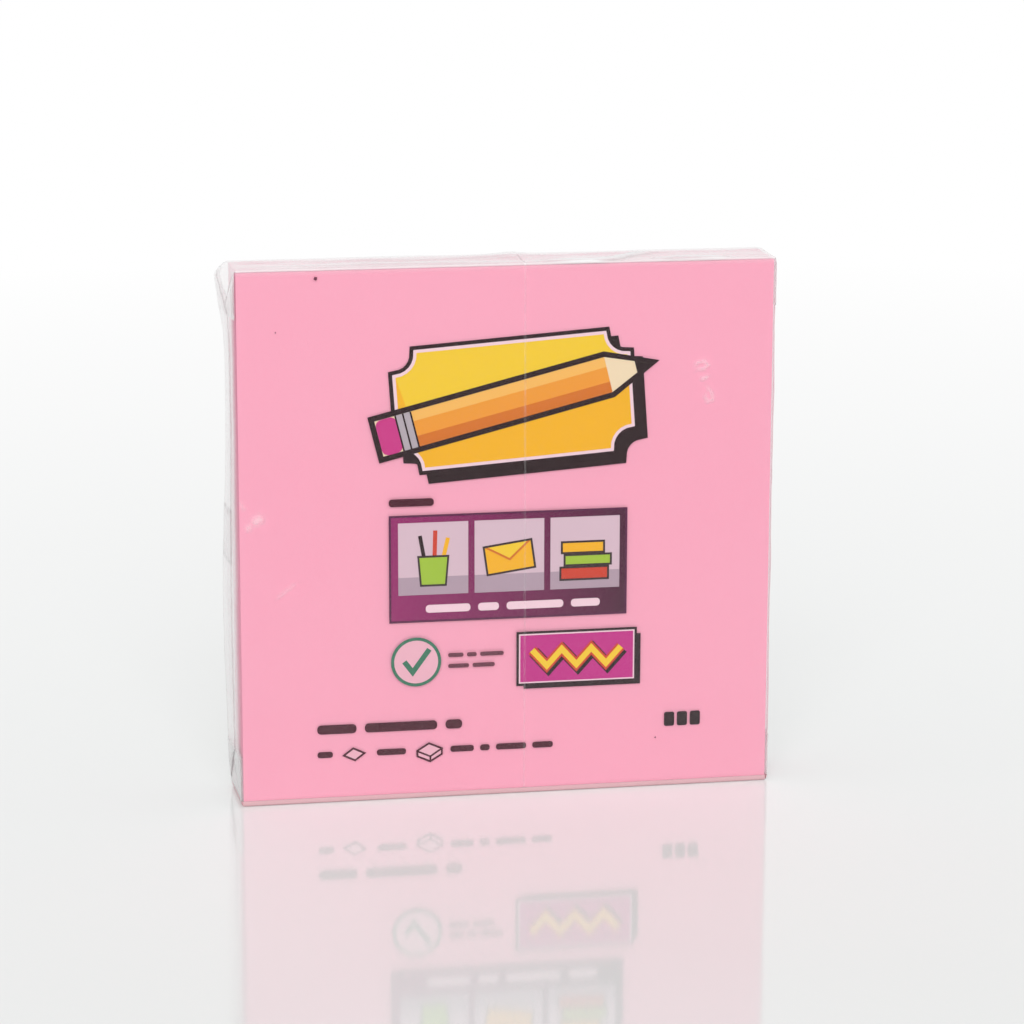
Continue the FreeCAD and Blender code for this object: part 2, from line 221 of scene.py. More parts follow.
def clear_film():
    """Clear polypropylene film, stretched in both directions as it was made. It is seen by what it
    mirrors: little where the eye meets it square, and nearly white at a low angle. A mesh value turns
    it cloudy white: partly haze in its folds, partly painted highlight and painted light on shade."""
    material, tree, output = new_material("clear_polypropylene_film")
    place = add_node(tree, "ShaderNodeTexCoord").outputs["Object"]
    # Stretching leaves ripples about 3 mm apart, drawn out along the film
    drawn = add_node(tree, "ShaderNodeMapping", {"Vector": place, "Scale": (0.45, 1.0, 1.0)})
    ripple = add_node(tree, "ShaderNodeTexNoise", {"Vector": drawn.outputs["Vector"],
                                                  "Scale": per_metre(3.0), "Detail": 2.0}).outputs["Fac"]
    relief = add_node(tree, "ShaderNodeBump", {"Height": ripple, "Strength": 0.2,
                                              "Distance": 0.08 * MM}).outputs["Normal"]
    facing = add_node(tree, "ShaderNodeLayerWeight", {"Blend": 0.5, "Normal": relief}).outputs["Facing"]
    steep = add_node(tree, "ShaderNodeMath", {0: facing, 1: 3.6}, operation="POWER").outputs[0]
    mirrored = add_node(tree, "ShaderNodeMath", {0: steep, 1: 1 - FILM_STRAIGHT_GLOSS,
                                                2: FILM_STRAIGHT_GLOSS}, operation="MULTIPLY_ADD").outputs[0]
    # Below the notes the film turns nearly white: a little of it is the haze of the pressed film, most is painted
    # light on the shaded gap beneath the notes
    height = add_node(tree, "ShaderNodeSeparateXYZ", {"Vector": place}).outputs["Z"]
    under = add_node(tree, "ShaderNodeMapRange", {"Value": height, "From Min": (PAPER_FOOT + 0.14) * MM,
                                                 "From Max": (PAPER_FOOT + 0.06) * MM}).outputs["Result"]
    pressed_and_painted_light = add_node(tree, "ShaderNodeMath", {0: under, 1: 0.9}, operation="MULTIPLY").outputs[0]
    # The mesh's value: haze in the folds, painted highlights along creases and bends, painted light over shaded ends
    haze_and_light_value = add_node(tree, "ShaderNodeAttribute", attribute_name="haze_and_painted_light").outputs["Fac"]
    haze = add_node(tree, "ShaderNodeMath", {0: haze_and_light_value, 1: pressed_and_painted_light}, operation="MAXIMUM").outputs[0]
    clearness = add_node(tree, "ShaderNodeMath", {0: 1.0, 1: haze}, operation="SUBTRACT").outputs[0]
    shine = add_node(tree, "ShaderNodeMath", {0: mirrored, 1: clearness}, operation="MULTIPLY").outputs[0]
    held = add_node(tree, "ShaderNodeMath", {0: shine, 1: haze}, operation="ADD").outputs[0]
    gloss_share = add_node(tree, "ShaderNodeMath", {0: shine, 1: held}, operation="DIVIDE").outputs[0]
    gloss = add_node(tree, "ShaderNodeBsdfAnisotropic", {"Color": colour("#FAFAFA"),
                                                        "Roughness": 0.06, "Normal": relief})
    # There it is tinted pink, a painted bounce light from the paper in the shaded gap
    haze_and_bounce_tone = add_node(tree, "ShaderNodeMix", {"Factor": under, "A": colour("#FFFFFF"),
                                                "B": colour("#EFC4CA")}, data_type="RGBA").outputs["Result"]
    ahead = add_node(tree, "ShaderNodeBsdfTranslucent", {"Color": haze_and_bounce_tone, "Normal": relief})
    back = add_node(tree, "ShaderNodeBsdfDiffuse", {"Color": haze_and_bounce_tone, "Normal": relief})
    # There, and over the top edge, it sends most of the light back
    over = add_node(tree, "ShaderNodeMapRange", {"Value": height, "From Min": (PAPER_TOP + 0.05) * MM,
                                                "From Max": (PAPER_TOP + 0.25) * MM}).outputs["Result"]
    either = add_node(tree, "ShaderNodeMath", {0: under, 1: over}, operation="MAXIMUM").outputs[0]
    turned_back = add_node(tree, "ShaderNodeMath", {0: either, 1: 0.45, 2: 0.5}, operation="MULTIPLY_ADD").outputs[0]
    # The right end is seen from inside, lit through from behind
    along = add_node(tree, "ShaderNodeSeparateXYZ", {"Vector": place}).outputs["X"]
    beyond = add_node(tree, "ShaderNodeMapRange", {"Value": along, "From Min": BLOCK_HIGH[0] * MM,
                                                  "From Max": (BLOCK_HIGH[0] + 0.1) * MM}).outputs["Result"]
    turned_back = add_node(tree, "ShaderNodeMath", {0: beyond, 1: -0.4, 2: turned_back},
                           operation="MULTIPLY_ADD").outputs[0]
    milk = add_node(tree, "ShaderNodeMixShader", {0: turned_back, 1: ahead.outputs[0], 2: back.outputs[0]})
    skin = add_node(tree, "ShaderNodeMixShader", {0: gloss_share, 1: milk.outputs[0], 2: gloss.outputs[0]})
    through = add_node(tree, "ShaderNodeBsdfTransparent", {"Color": colour("#FFFFFF")})
    film = add_node(tree, "ShaderNodeMixShader", {0: held, 1: through.outputs[0], 2: skin.outputs[0]})
    tree.links.new(film.outputs[0], output.inputs["Surface"])
    return material


def dust_lint():
    """Dry lint and paper dust caught on the film. Its dull fuzzy face breaks the film's shine."""
    material, tree, output = new_material("dry_paper_lint")
    place = add_node(tree, "ShaderNodeTexCoord").outputs["Object"]
    fuzz = add_node(tree, "ShaderNodeTexNoise", {"Vector": place, "Scale": per_metre(0.1),
                                                "Detail": 3.0}).outputs["Fac"]
    paint = add_node(tree, "ShaderNodeMix", {"Factor": fuzz, "A": colour("#5A2A3C"), "B": colour("#7C4256")},
                     data_type="RGBA").outputs["Result"]
    skin = add_node(tree, "ShaderNodeBsdfPrincipled", {"Base Color": paint, "Roughness": 0.95})
    tree.links.new(skin.outputs["BSDF"], output.inputs["Surface"])
    return material


def printed_ink(name, first, second=None, across=(0.0, 0.0)):
    """Flexographic ink, printed on the inner face of the film. The plate's dots leave a fine
    broken tone in it. A second colour makes it run from one to the other between two places."""
    material, tree, output = new_material(name + "_flexographic_ink")
    place = add_node(tree, "ShaderNodeTexCoord").outputs["Object"]
    base = add_node(tree, "ShaderNodeRGB")
    base.outputs[0].default_value = colour(first)
    tone = base.outputs[0]
    if second:
        along = add_node(tree, "ShaderNodeSeparateXYZ", {"Vector": place}).outputs["X"]
        share = add_node(tree, "ShaderNodeMapRange", {"Value": along, "From Min": across[0] * MM,
                                                     "From Max": across[1] * MM}).outputs["Result"]
        tone = add_node(tree, "ShaderNodeMix", {"Factor": share, "A": colour(first),
                                               "B": colour(second)}, data_type="RGBA").outputs["Result"]
    # Plate dots are 0.1 mm apart and are drawn 0.35 mm apart
    dots = add_node(tree, "ShaderNodeTexNoise", {"Vector": place, "Scale": per_metre(0.35),
                                                "Detail": 2.0}).outputs["Fac"]
    broken = add_node(tree, "ShaderNodeMapRange", {"Value": dots, "From Min": 0.4, "From Max": 0.8,
                                                  "To Min": 0.0, "To Max": 0.03}).outputs["Result"]
    paint = add_node(tree, "ShaderNodeMix", {"Factor": broken, "A": tone, "B": colour("#F3C6D2")},
                     data_type="RGBA").outputs["Result"]
    skin = add_node(tree, "ShaderNodeBsdfPrincipled", {"Base Color": paint, "Roughness": 0.5,
                                                      "Specular IOR Level": 0.2})
    tree.links.new(skin.outputs["BSDF"], output.inputs["Surface"])
    return material


# Meshes
def thickened(points, faces, thickness):
    """A closed wall of this thickness round a sheet of points, and its faces."""
    points = np.asarray(points, float)
    normals = np.zeros_like(points)
    for face in faces:
        corners = points[list(face)]
        normal = np.cross(corners[1] - corners[0], corners[-1] - corners[0])
        if len(face) == 4:
            normal = normal + np.cross(corners[3] - corners[2], corners[1] - corners[2])
        normals[list(face)] += normal
    lengths = np.linalg.norm(normals, axis=1, keepdims=True)
    normals /= np.where(lengths > 1e-12, lengths, 1.0)
    count = len(points)
    both = np.vstack((points + normals * thickness / 2, points - normals * thickness / 2))
    walls = list(faces) + [tuple(count + corner for corner in reversed(face)) for face in faces]
    used = set()
    for face in faces:
        used.update(zip(face, face[1:] + face[:1]))
    for start, end in sorted(used):
        if (end, start) not in used:
            walls.append((end, start, count + start, count + end))
    return both, walls


def add_piece(name, points, faces, materials, choice=None, smooth=0):
    """A piece of the pad from points in millimetres. Choice gives each face's material, and the
    first faces, as many as smooth says, are shaded as one curved skin."""
    mesh = bpy.data.meshes.new(name)
    mesh.from_pydata((np.asarray(points) * MM).tolist(), [], [list(face) for face in faces])
    for material in materials:
        mesh.materials.append(material)
    if choice is not None:
        mesh.polygons.foreach_set("material_index", np.asarray(choice, dtype=np.int32))
    mesh.polygons.foreach_set("use_smooth", [number < smooth for number in range(len(mesh.polygons))])
    mesh.update()
    piece = bpy.data.objects.new(name, mesh)
    bpy.context.scene.collection.objects.link(piece)
    return piece


def ease(value):
    """A smooth step from 0 to 1."""
    value = np.clip(value, 0.0, 1.0)
    return value * value * (3 - 2 * value)


def bump(value, middle, reach):
    """A smooth swell of height 1 that ends at its reach."""
    return ease(1 - np.abs((value - middle) / reach))


# The film's shape
WALL = 0.05
FRONT = BLOCK_LOW[1] - 0.09 - WALL / 2
BACK = LINER_HIGH[1] + 0.15 + WALL / 2
TOP = BLOCK_HIGH[2] + 0.35 + WALL / 2
FLOOR = WALL / 2 + 0.005
LIFT = BLOCK_LOW[2] - WALL / 2 - 0.01
LEFT_END = BLOCK_LOW[0] - 0.18
RIGHT_END = BLOCK_HIGH[0] + 0.22
BEND = 0.35
BEND_STEPS = 4
CELLS_DOWN = 128
CELL = (TOP - FLOOR - 2 * BEND) / CELLS_DOWN
FLAP_CELLS = 11
TEAR_PLACE = 2.4
SLIT_WIDTH = 0.07


def bend_stations():
    """Places round a right-angled bend: how far each lies inside the corner and past it."""
    angles = np.linspace(0, math.pi / 2, BEND_STEPS + 1)
    return BEND * (np.sin(angles) - 1), BEND * (1 - np.cos(angles))


def graded(start, end, step, finer):
    """Places from start to end about one step apart. Finer holds (low, high, parts) stretches
    whose cells are divided again."""
    cells = max(1, round(abs(end - start) / step))
    places = [start]
    for cell in range(cells):
        low = start + (end - start) * cell / cells
        high = start + (end - start) * (cell + 1) / cells
        middle = (low + high) / 2
        parts = max([part for a, b, part in finer if min(a, b) < middle < max(a, b)], default=1)
        places += [low + (high - low) * (part + 1) / parts for part in range(parts)]
    return places


def film_rows():
    """The film's rows from the left flap's edge to the right flap's edge. Each row has its place
    along the pad, how far it runs past the end, and which end it belongs to."""
    inside, past = bend_stations()
    flap = [BEND + CELL * (number + 1) for number in range(FLAP_CELLS)]
    rows = [(LEFT_END, length, -1) for length in reversed(flap)]
    rows += [(LEFT_END - out, down, -1) for out, down in zip(inside[::-1], past[::-1])]
    along = graded(LEFT_END + BEND, RIGHT_END - BEND, 1.3,
                   [(-38.5, -29.5, 4), (2.0, 26.0, 2), (26.0, 30.2, 6), (30.2, 39.0, 2)])[1:-1]
    edges = [TEAR_PLACE - SLIT_WIDTH / 2, TEAR_PLACE + SLIT_WIDTH / 2]
    along = [place for place in along if abs(place - TEAR_PLACE) > 0.5]
    edges += [TEAR_PLACE - 0.2, TEAR_PLACE + 0.2]
    rows += [(place, 0.0, 0) for place in sorted(along + edges)]
    rows += [(RIGHT_END + out, down, 1) for out, down in zip(inside, past)]
    rows += [(RIGHT_END, length, 1) for length in flap]
    return np.array(rows)


PANELS = ("upper_back", "top", "front", "floor_fold", "rising_fold", "resting_fold", "lower_back")
UPPER_BACK, TOP_PANEL, FRONT_PANEL, FLOOR_FOLD, RISING_FOLD, RESTING_FOLD, LOWER_BACK = range(7)
SEAM_LOW, SEAM_HIGH = 34.6, 42.4
NOSE = FRONT + 0.35
REAR = BACK - 0.35
BACK_DROP = 0.26


def film_columns():
    """The film's columns round the pad, from the inner edge of the back seam over the top, down
    the front, through the folds underneath and up to the outer edge of the seam. Each column is
    (panel, y, z, distance from the top, distance from the bottom)."""
    inside, past = bend_stations()
    far = 1e3
    columns = []

    zone = [TOP - BEND - CELL * number for number in range(FLAP_CELLS + 1)]
    for z in graded(SEAM_LOW, zone[-1], 2 * CELL, []) + zone[-2::-1]:
        columns.append((UPPER_BACK, BACK, z, TOP - z, far))
    for out, down in list(zip(inside, past))[::-1][1:]:
        panel = UPPER_BACK if down > -out else TOP_PANEL
        columns.append((panel, BACK + out, TOP - down, down, far))
    for y in graded(BACK - BEND, FRONT + BEND, 0.3, [])[1:-1]:
        columns.append((TOP_PANEL, y, TOP, 0.0, far))
    for out, down in zip(inside, past):
        panel = FRONT_PANEL if down > -out else TOP_PANEL
        columns.append((panel, FRONT - out, TOP - down, down, TOP - FLOOR - down))
    upper = TOP - BEND - CELL * FLAP_CELLS
    lower = FLOOR + BEND + CELL * FLAP_CELLS
    heights = [upper + CELL * number for number in range(FLAP_CELLS - 1, 0, -1)]
    heights += graded(upper, lower, 2 * CELL, [(56.0, 63.2, 5), (39.6, 45.2, 3), (29.6, 33.3, 4)])
    heights += [lower - CELL * number for number in range(1, FLAP_CELLS)]
    for z in heights:
        columns.append((FRONT_PANEL, FRONT, z, TOP - z, z - FLOOR))
    for out, down in list(zip(inside, past))[::-1]:
        panel = FRONT_PANEL if down > -out else FLOOR_FOLD
        columns.append((panel, FRONT - out, FLOOR + down, TOP - FLOOR - down, down))
    for y in graded(FRONT + BEND, REAR, 1.2, [])[1:]:
        columns.append((FLOOR_FOLD, y, FLOOR, far, 0.0))
    columns.append((FLOOR_FOLD, REAR + 0.04, FLOOR + 0.035, far, 0.0))
    for share in np.linspace(0, 1, 9):
        columns.append((RISING_FOLD, REAR + (NOSE - REAR) * share, FLOOR + 0.07 + 0.23 * share, far, 0.0))
    columns.append((RISING_FOLD, NOSE - 0.05, FLOOR + 0.34, far, 0.0))
    for share in np.linspace(0, 1, 4):
        columns.append((RESTING_FOLD, NOSE + 1.2 * share, FLOOR + 0.38 + (LIFT - FLOOR - 0.38) * ease(share),
                        far, 0.0))
    for y in graded(NOSE + 1.2, BACK - BEND, 1.2, [])[1:]:
        columns.append((RESTING_FOLD, y, LIFT, far, 0.0))
    for out, down in list(zip(inside, past))[1:]:
        panel = LOWER_BACK if down > -out else RESTING_FOLD
        columns.append((panel, BACK + out, LIFT + down, far, down))
    rise = [LIFT + BEND + CELL * number for number in range(FLAP_CELLS + 1)]
    for z in rise[1:] + graded(rise[-1], SEAM_HIGH, 2 * CELL, [])[1:]:
        columns.append((LOWER_BACK, BACK, z, far, z - LIFT))
    return np.array(columns)


def ripple(along, across, size, turn=0.0):
    """A gentle irregular wave of height about 1, with hills of about this size."""
    u = (along * math.cos(turn) + across * math.sin(turn)) / size
    v = (across * math.cos(turn) - along * math.sin(turn)) / size
    wave = np.sin(2.1 * u + 1.3 * np.sin(1.7 * v + 0.4)) + 0.6 * np.sin(3.3 * v + 1.9 * np.sin(1.1 * u + 2.0))
    return wave / 1.6


def ridge(x, z, path, width, height):
    """A crease that stands along a path of (x, z) points and dies away at both ends."""
    nearest = np.full(np.shape(x), 1e9)
    place = np.zeros(np.shape(x))
    run = 0.0
    total = sum(math.dist(a, b) for a, b in zip(path, path[1:]))
    for (ax, az), (bx, bz) in zip(path, path[1:]):
        length = math.dist((ax, az), (bx, bz))
        share = np.clip(((x - ax) * (bx - ax) + (z - az) * (bz - az)) / length ** 2, 0, 1)
        gap = np.hypot(x - ax - share * (bx - ax), z - az - share * (bz - az))
        place = np.where(gap < nearest, (run + share * length) / total, place)
        nearest = np.minimum(gap, nearest)
        run += length
    taper = ease(4 * place) * ease(4 * (1 - place)) * 0.9 + 0.1
    return height * np.exp(-(nearest / width) ** 2) * taper


# Creases in the front of the film: path in (x, z), width, height, whiteness (painted glint over a little real
# whitening)
FRONT_CREASES = (
    (((26.6, 61.3), (27.1, 62.3), (28.1, 62.45), (28.65, 61.85), (27.95, 61.35), (27.2, 61.4), (26.7, 60.9)),
     0.24, 0.1, 0.3),
    (((27.5, 59.8), (28.8, 60.3)), 0.26, 0.12, 0.36),
    (((28.35, 59.15), (28.8, 58.4), (29.25, 57.7), (29.35, 56.85), (28.65, 56.6), (28.3, 57.25), (28.55, 58.15)),
     0.24, 0.1, 0.26),
    (((-33.1, 30.2), (-31.5, 31.5), (-30.0, 32.7)), 0.22, 0.05, 0.16),
    (((-37.9, 44.6), (-37.5, 43.7), (-37.0, 43.2)), 0.22, 0.05, 0.2),
    (((-37.2, 40.5), (-36.2, 41.0)), 0.4, 0.05, 0.3),
    (((-36.3, 41.3), (-34.6, 42.3)), 0.6, 0.06, 0.42),
)

# Creases in the film over the top: path in (x, distance behind the front), width, height, whiteness (painted highlight
# over a little real whitening)
TOP_CREASES = (
    (((3.7, 1.7), (11.6, 0.8), (14.9, 1.8), (17.2, 4.3), (19.3, 6.1), (21.3, 7.0), (23.8, 6.6)), 0.8, 0.34, 0.9),
    (((20.0, 0.5), (23.9, 1.9), (26.0, 1.4), (32.4, 0.7)), 0.7, 0.24, 0.8),
    (((-34.0, 2.6), (-20.0, 3.6), (-6.0, 2.2), (2.0, 1.4)), 0.9, 0.14, 0.3),
    (((-26.0, 7.4), (-10.0, 6.4), (2.0, 7.8), (9.0, 6.6)), 0.8, 0.14, 0.4),
)
HEIGHT, WHITE_AND_GLINT = 2, 3


def creases(x, across, lines, quality):
    """The height, or the whiteness of painted highlight and a little real whitening, of all these creases together."""
    return sum(ridge(x, across, line[0], line[1], line[quality]) for line in lines)


def front_lift(x, z):
    """How far the front of the film stands out from the edges of the notes."""
    pillow = np.clip(1 - (x / 38.4) ** 2, 0, 1) ** 0.6 * np.clip(1 - ((z - 38.6) / 38.4) ** 2, 0, 1) ** 0.6
    lift = 0.32 * pillow + 0.02 * pillow * ripple(x, z, 9.0, 0.5) + 0.01 * pillow * ripple(x, z, 4.0, -0.7)
    return lift + creases(x, z, FRONT_CREASES, HEIGHT)


def top_lift(x, y):
    """How far the film over the top edge stands above its flat place."""
    behind = y - FRONT
    depth = behind / (BACK - FRONT)
    lift = 0.05 * ripple(x, 3.0 * y, 7.0, 0.2) + 0.02 * ripple(x, 4.0 * y, 3.2, -0.3)
    lift = lift + 0.2 * bump(x, 1.8, 3.4) * ease(depth * 1.6) - 0.12 * bump(depth, 0.5, 0.5)
    return lift + creases(x, behind, TOP_CREASES, HEIGHT)


# The loose film at the left end: how far its back stands out, by height
LOOSE_HEIGHTS = (0.0, 4.0, 13.0, 30.0, 45.0, 56.0, 64.5, 67.0, 71.0, 74.3, 75.4, 76.4, 77.2)
LOOSE_REACHES = (0.35, 0.6, 0.9, 1.25, 0.6, 0.25, 0.3, 0.5, 1.1, 1.55, 1.7, 0.4, 0.05)


def left_flare(z, y):
    """How far the left end stands out. It leaves the notes at their front edge and widens towards
    the back, in an ear at the top and a belly lower down."""
    reach = sum(np.interp(z + shift, LOOSE_HEIGHTS, LOOSE_REACHES) for shift in (-0.6, -0.3, 0.0, 0.3, 0.6)) / 5
    depth = np.clip((y - FRONT) / (BACK - FRONT), 0, 1)
    behind = 0.3 * np.sin(depth * math.pi / 2) + 0.7 * depth ** 1.6
    loose = 0.05 * (1 + ripple(z, 2.0 * y, 6.0)) + 0.03 * (1 + ripple(z, 3.0 * y, 2.3, 0.4))
    return reach * behind + loose * (0.3 + 0.7 * depth) * ease(z / 6.0) * ease((TOP - z) / 4.0)


def right_flare(z, y):
    """How far the right end stands out."""
    loose = 0.06 * ripple(z, 2.0 * y, 8.0, 0.3) + 0.03 * ripple(z, 3.0 * y, 2.6, 0.9) + 0.05
    return loose * ease(z / 6.0) * ease((TOP - z) / 3.0)


def fold_film(rows, columns):
    """The folded sheet: each row and column's point in millimetres."""
    along, past, side = (rows[:, number][:, None] for number in range(3))
    panel, y0, z0, from_top, from_bottom = (columns[:, number][None, :] for number in range(5))
    shape = (len(rows), len(columns))
    x = np.broadcast_to(along, shape).copy()
    y = np.broadcast_to(y0, shape).copy()
    z = np.broadcast_to(z0, shape).copy()
    is_back = (panel == UPPER_BACK) | (panel == LOWER_BACK)
    is_face = is_back | (panel == FRONT_PANEL)
    inward = np.where(is_back, -1.0, 1.0)
    near = np.minimum(from_top, from_bottom)
    at_end = past > 0
    flap = at_end & is_face & (past <= near)
    gusset_up = at_end & is_face & (past > near) & (from_top <= from_bottom)
    gusset_down = at_end & is_face & (past > near) & (from_top > from_bottom)
    bottom = np.where(is_back, LIFT, FLOOR)
    y = np.where(flap, y0 + inward * past, y)
    y = np.where(gusset_up | gusset_down, y0 + inward * near, y)
    z = np.where(gusset_up, TOP - past, z)
    z = np.where(gusset_down, bottom + past, z)
    tuck = at_end & ~is_face
    z = np.where(tuck & (panel == TOP_PANEL), z0 - past, z)
    z = np.where(tuck & (panel >= FLOOR_FOLD), z0 + past, z)

    # The folded layers lie over each other: tucks, gussets, front flap, back flap
    spread = ease(past / 1.0)
    hinge = np.exp(-np.abs(near - past) / 0.5)
    layer = np.where(panel == FLOOR_FOLD, 0.14, np.where(panel == RISING_FOLD, 0.07, 0.0))
    layer = np.where(gusset_up | gusset_down, 0.2 + 0.03 * hinge, layer)
    layer = np.where(flap, 0.26 - 0.03 * hinge + 0.1 * is_back * ease((past - 2.4) / 1.2), layer)
    x = x + side * spread * layer

    # Slack and creases
    flat = ~at_end
    on_front = flat & (panel == FRONT_PANEL)
    on_top = flat & (panel == TOP_PANEL)
    y = np.where(on_front, y - front_lift(x, z) * ease(from_top / 2.0) * ease(from_bottom / 2.0), y)
    settle = 1 - ease(past / 3.0)
    lifted = top_lift(np.clip(x, LEFT_END, RIGHT_END), y0) * ease((x - LEFT_END) / 1.5) * ease((RIGHT_END - x) / 1.5)
    z = np.where(on_top | (at_end & (panel == TOP_PANEL)), z + lifted * settle, z)
    # The film is drawn down on to the back edge of the pad
    z = z - BACK_DROP * ease((y - BACK + 3.5) / 3.5) * ease((z - TOP + 3.0) / 3.0)
    near_left = np.where(side < 0, 1.0, ease((LEFT_END + 4.5 - x) / 4.5))
    near_right = np.where(side > 0, 1.0, ease((x - RIGHT_END + 4.5) / 4.5))
    x = x - near_left * left_flare(z, y) + near_right * right_flare(z, y)
    on_back = flat & is_back
    slack = 0.03 * ripple(x, z, 8.0, 0.8) + 0.015 * ripple(x, z, 3.0, 0.1) + 0.02
    y = np.where(on_back, y - slack * ease(from_top / 3.0) * ease(from_bottom / 3.0), y)
    seam_over = np.where((panel == LOWER_BACK), ease((z0 - SEAM_LOW + 0.6) / 0.6), 0.0)
    y = np.where(is_back & flat, y + 0.07 * seam_over, y)
    return np.stack((x, y, z), axis=-1)


def is_slit(row, column, rows, columns):
    """Whether this cell is one of the tear line's cuts."""
    middle = (rows[row, 0] + rows[row + 1, 0]) / 2
    if rows[row, 2] or rows[row + 1, 2] or abs(middle - TEAR_PLACE) > SLIT_WIDTH / 2:
        return False
    panel = columns[column, 0]
    place = (columns[column, 1:3] + columns[column + 1, 1:3]) / 2
    if panel in (FLOOR_FOLD, RISING_FOLD, RESTING_FOLD) or place[1] < 1.6:
        return False
    if place[1] > TOP - 0.8 and not FRONT + 0.8 < place[0] < BACK - 0.8:
        return False
    run = place[0] if panel == TOP_PANEL else place[1]
    return (run / (4 * CELL)) % 1.0 < 0.5


def haze_and_painted_light(rows, columns, points):
    """How cloudy white the film is at each of its points. Most under the notes, a little the haze of the pressed
    film and mostly painted light on the shaded gap; along creases and bends painted highlight over a little
    real whitening; over the right end and the low left end painted light on their shade; a little haze in
    the folds at both ends, and hardly anywhere else."""
    along, past = rows[:, 0][:, None], rows[:, 1][:, None]
    panel, from_top, from_bottom = columns[:, 0][None, :], columns[:, 3][None, :], columns[:, 4][None, :]
    across, height = points[:, :, 1], points[:, :, 2]
    # A little haze in the end folds, and over the right end 0.4 of painted light that lifts the shade between the film
    # and the notes
    haze_and_light = 0.004 + 0.06 * ease(past / 0.8) + 0.4 * ease((along - BLOCK_HIGH[0] + 0.1) / 0.3) + 0.0 * panel
    # Painted light over the lower part of the left end, lifting the shade beside the notes' edge
    painted_light_low_end = ease((BLOCK_LOW[0] + 0.1 - along) / 0.2) * ease((9.0 - height) / 3.0)
    haze_and_light = haze_and_light + 0.35 * painted_light_low_end
    # The edges of the tear line's cuts are faintly white
    haze_and_light = haze_and_light + 0.13 * (past == 0) * np.exp(-((along - TEAR_PLACE) / 0.1) ** 2)
    # Along the front's creases, painted glints over a little real whitening; the front also whitens a little towards
    # its foot
    front = creases(along, height, FRONT_CREASES, WHITE_AND_GLINT) + 0.02 * ease((48.0 - height) / 30.0)
    haze_and_light = np.where(panel == FRONT_PANEL, haze_and_light + front, haze_and_light)
    # Over the top: a little whitening all over, and much more along the creases, painted highlight over a little real
    # whitening
    over = 0.1 + creases(along, across - FRONT, TOP_CREASES, WHITE_AND_GLINT)
    haze_and_light = np.where(panel == TOP_PANEL, haze_and_light + over * (1 - ease(past / 0.5)), haze_and_light)
    # Painted highlight along the bend over the front top edge
    bend = ease((0.42 - np.hypot(across - FRONT, TOP - height)) / 0.2)
    haze_and_light = haze_and_light + 0.5 * bend * ((panel == FRONT_PANEL) | (panel == TOP_PANEL))
    # Under the notes the folds carry partly the haze of creased film and mostly painted light on the shaded gap
    folded_under = (panel >= FLOOR_FOLD) & (panel <= RESTING_FOLD)
    return np.where(folded_under, 0.8 - 0.5 * ease(past), np.minimum(haze_and_light, 0.92))


def make_film(material):
    """The film wrap as one folded sheet with a wall of its real thickness."""
    rows, columns = film_rows(), film_columns()
    points = fold_film(rows, columns)
    wide = len(columns)
    faces = []
    for row in range(len(rows) - 1):
        for column in range(wide - 1):
            if is_slit(row, column, rows, columns):
                continue
            a, b = row * wide + column, row * wide + column + 1
            c, d = b + wide, a + wide
            faces += mitred_cell(rows, columns, row, column, (a, b, c, d))
    walls_points, walls = thickened(points.reshape(-1, 3), faces, WALL)
    film = add_piece("folded_film", walls_points, walls, [material], smooth=2 * len(faces))
    haze_and_light = np.tile(haze_and_painted_light(rows, columns, points).ravel(), 2)
    film.data.attributes.new("haze_and_painted_light", "FLOAT", "POINT").data.foreach_set("value", haze_and_light.astype(np.float32))
    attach(film, "root")
    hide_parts("film_wrap")
    return film


def mitred_cell(rows, columns, row, column, corners):
    """One cell of the film. A cell on a mitre fold is cut in two along the fold."""
    a, b, c, d = corners
    past = rows[row:row + 2, 1]
    near = np.minimum(columns[column:column + 2, 3], columns[column:column + 2, 4])
    if rows[row, 2] == 0 and rows[row + 1, 2] == 0:
        return [(a, b, c, d)]
    if abs(past[0] - near[0]) < 1e-6 and abs(past[1] - near[1]) < 1e-6:
        return [(a, b, c), (a, c, d)]
    if abs(past[0] - near[1]) < 1e-6 and abs(past[1] - near[0]) < 1e-6:
        return [(a, b, d), (b, c, d)]
    return [(a, b, c, d)]


# The print: outlines in millimetres, x from the middle of the pad and z from its lower edge
NOTE_FOOT = BLOCK_LOW[2]


def bar(left, low, right, high):
    """A rectangle."""
    return [(left, low), (right, low), (right, high), (left, high)]


def round_bar(left, low, right, high, radius):
    """A rectangle with round corners."""
    points = []
    for cx, cz, start in ((right - radius, low + radius, -90), (right - radius, high - radius, 0),
                          (left + radius, high - radius, 90), (left + radius, low + radius, 180)):
        for step in range(5):
            angle = math.radians(start + 22.5 * step)
            points.append((cx + radius * math.cos(angle), cz + radius * math.sin(angle)))
    return points


def notched(width, height, notch):
    """A plaque whose corners are scooped out, about its middle."""
    points = []
    for cx, cz, start in ((width / 2, -height / 2, 180), (width / 2, height / 2, 270),
                          (-width / 2, height / 2, 0), (-width / 2, -height / 2, 90)):
        for step in range(7):
            angle = math.radians(start - 15 * step)
            points.append((cx + notch * math.cos(angle), cz + notch * math.sin(angle)))
    return points


def disc(cx, cz, radius, steps=40):
    """A circle."""
    return [(cx + radius * math.cos(math.tau * step / steps), cz + radius * math.sin(math.tau * step / steps))
            for step in range(steps)]


def moved(points, dx, dz, turn=0.0):
    """An outline turned about its origin by degrees and then shifted."""
    c, s = math.cos(math.radians(turn)), math.sin(math.radians(turn))
    return [(x * c - z * s + dx, x * s + z * c + dz) for x, z in points]


